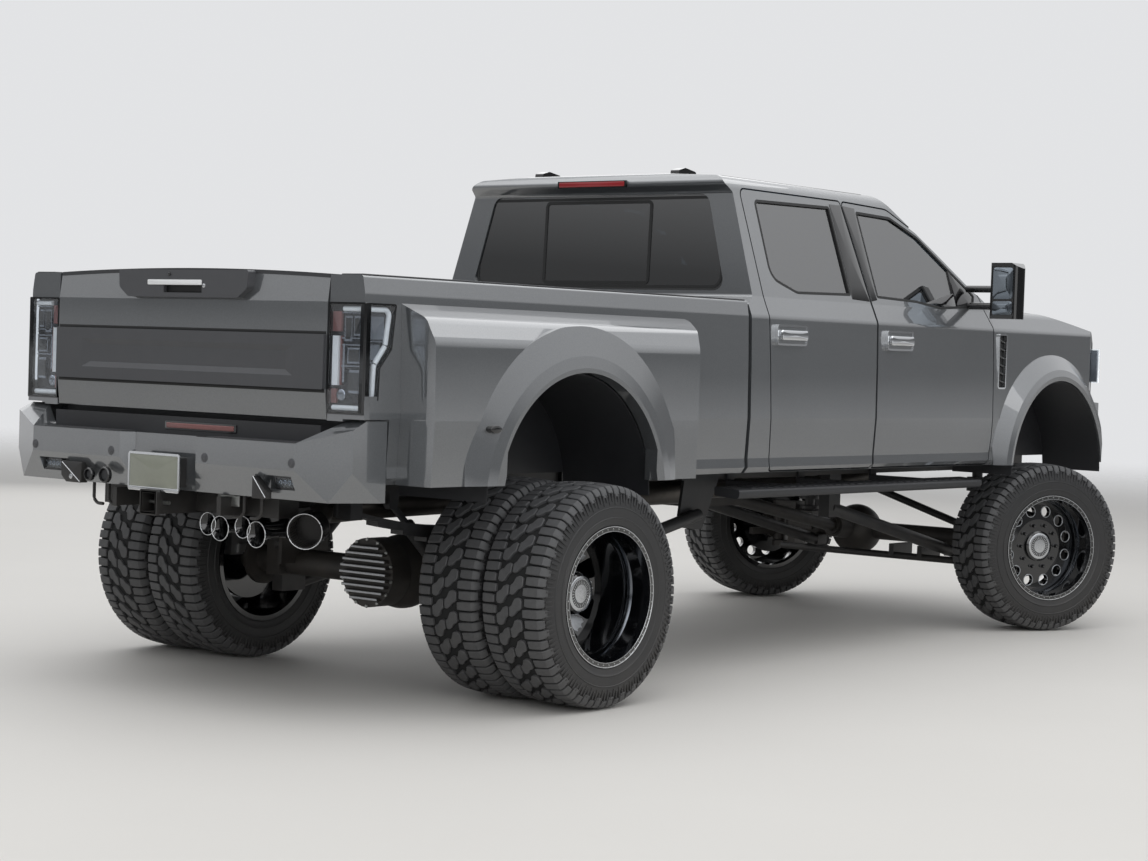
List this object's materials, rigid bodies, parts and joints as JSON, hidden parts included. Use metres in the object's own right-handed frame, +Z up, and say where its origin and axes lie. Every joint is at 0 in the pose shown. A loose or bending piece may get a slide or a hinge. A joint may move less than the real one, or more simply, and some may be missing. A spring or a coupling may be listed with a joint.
{
  "type": "pickup truck",
  "caption": "Crew cab pickup truck on tall suspension with twin rear wheels, wide rear fenders, an open load bed, opening doors, hood and tailgate, and steered wheels.",
  "frame": {"origin": "on the ground under the middle of the truck's outline", "axes": "+X forward along the truck, +Y to its left, +Z up"},
  "size_m": [6.77, 2.732, 2.3975],
  "materials": {
    "body_paint": "metallic dark grey gloss",
    "dark_trim": "satin",
    "chassis_black": "satin black",
    "steel_grey": "satin",
    "cast_silver": "cast",
    "cast_dark": "cast",
    "exhaust_steel": "dulled",
    "wheel_black": "gloss black",
    "rubber_tyre": "matt",
    "mount_rubber": "matt",
    "tinted_glass": "tinted",
    "lamp_lens": "clear lens",
    "tail_lens": "dark red lens",
    "seat_leather": "matt",
    "interior_plastic": "matt"
  },
  "bodies": {
    "chassis": {"frame_rails": "chassis_black", "body_mounts": "mount_rubber", "hitch_receiver": "chassis_black", "rear_bumper": "body_paint", "front_bumper": "body_paint", "cab_shell": "body_paint", "cab_glass": "tinted_glass", "front_fenders": "body_paint", "grille": "dark_trim", "headlamps": "lamp_lens", "bed": "body_paint", "rear_fenders": "body_paint", "tail_lamps": "tail_lens", "rear_axle": "chassis_black", "rear_calipers": "cast_silver", "front_axle": "chassis_black", "front_suspension": "steel_grey", "rear_suspension": "steel_grey", "exhaust": "exhaust_steel", "drive_shafts": "steel_grey", "engine": "cast_dark", "fuel_tank": "dark_trim", "running_boards": "dark_trim", "seats": "seat_leather", "dashboard": "interior_plastic", "train_horns": "dark_trim", "roof_trim": "dark_trim"},
    "hood_lid": {"hood": "body_paint"},
    "tailgate_lid": {"tailgate": "body_paint", "tailgate_trim": "dark_trim"},
    "front_door_left": {"door_front_left": "body_paint", "window_front_left": "tinted_glass", "mirror_left": "dark_trim"},
    "rear_door_left": {"door_rear_left": "body_paint", "window_rear_left": "tinted_glass"},
    "steered_knuckle_left": {"knuckle_left": "cast_silver"},
    "front_wheel_left": {"wheel_front_left": "wheel_black", "tyre_front_left": "rubber_tyre"},
    "rear_wheels_left": {"wheels_rear_left": "wheel_black", "tyres_rear_left": "rubber_tyre"},
    "front_door_right": {"door_front_right": "body_paint", "window_front_right": "tinted_glass", "mirror_right": "dark_trim"},
    "rear_door_right": {"door_rear_right": "body_paint", "window_rear_right": "tinted_glass"},
    "steered_knuckle_right": {"knuckle_right": "cast_silver"},
    "front_wheel_right": {"wheel_front_right": "wheel_black", "tyre_front_right": "rubber_tyre"},
    "rear_wheels_right": {"wheels_rear_right": "wheel_black", "tyres_rear_right": "rubber_tyre"}
  },
  "joints": [
    {"name": "rear_wheels_spin_left", "type": "hinge", "parent": "chassis", "child": "rear_wheels_left", "pos_m": [-2.055, 1.02, 0.47], "axis": [0, 1, 0], "continuous": true},
    {"name": "steering_left", "type": "hinge", "parent": "chassis", "child": "steered_knuckle_left", "pos_m": [2.415, 0.79, 0.47], "axis": [0, 0, 1], "range_deg": [-8, 60]},
    {"name": "front_wheel_spin_left", "type": "hinge", "parent": "steered_knuckle_left", "child": "front_wheel_left", "pos_m": [2.415, 0.79, 0.47], "axis": [0.4384, 0.8988, 0], "continuous": true},
    {"name": "front_door_swing_left", "type": "hinge", "parent": "chassis", "child": "front_door_left", "pos_m": [1.771, 1.022, 1.4], "axis": [0, 0, -1], "range_deg": [0, 65]},
    {"name": "rear_door_swing_left", "type": "hinge", "parent": "chassis", "child": "rear_door_left", "pos_m": [0.553, 1.022, 1.4], "axis": [0, 0, -1], "range_deg": [0, 65]},
    {"name": "rear_wheels_spin_right", "type": "hinge", "parent": "chassis", "child": "rear_wheels_right", "pos_m": [-2.055, -1.02, 0.47], "axis": [0, 1, 0], "continuous": true},
    {"name": "steering_right", "type": "hinge", "parent": "chassis", "child": "steered_knuckle_right", "pos_m": [2.415, -0.79, 0.47], "axis": [0, 0, 1], "range_deg": [-8, 60]},
    {"name": "front_wheel_spin_right", "type": "hinge", "parent": "steered_knuckle_right", "child": "front_wheel_right", "pos_m": [2.415, -0.79, 0.47], "axis": [0.4384, 0.8988, 0], "continuous": true},
    {"name": "front_door_swing_right", "type": "hinge", "parent": "chassis", "child": "front_door_right", "pos_m": [1.771, -1.022, 1.4], "axis": [0, 0, 1], "range_deg": [0, 65]},
    {"name": "rear_door_swing_right", "type": "hinge", "parent": "chassis", "child": "rear_door_right", "pos_m": [0.553, -1.022, 1.4], "axis": [0, 0, 1], "range_deg": [0, 65]},
    {"name": "hood_lift", "type": "hinge", "parent": "chassis", "child": "hood_lid", "pos_m": [1.938, 0, 1.861], "axis": [0, -1, 0], "range_deg": [0, 55]},
    {"name": "tailgate_drop", "type": "hinge", "parent": "chassis", "child": "tailgate_lid", "pos_m": [-3.175, 0, 1.198], "axis": [0, -1, 0], "range_deg": [0, 90]}
  ],
  "couplings": [
    {"joint": "steering_right", "follows": "steering_left", "ratio": 1}
  ]
}
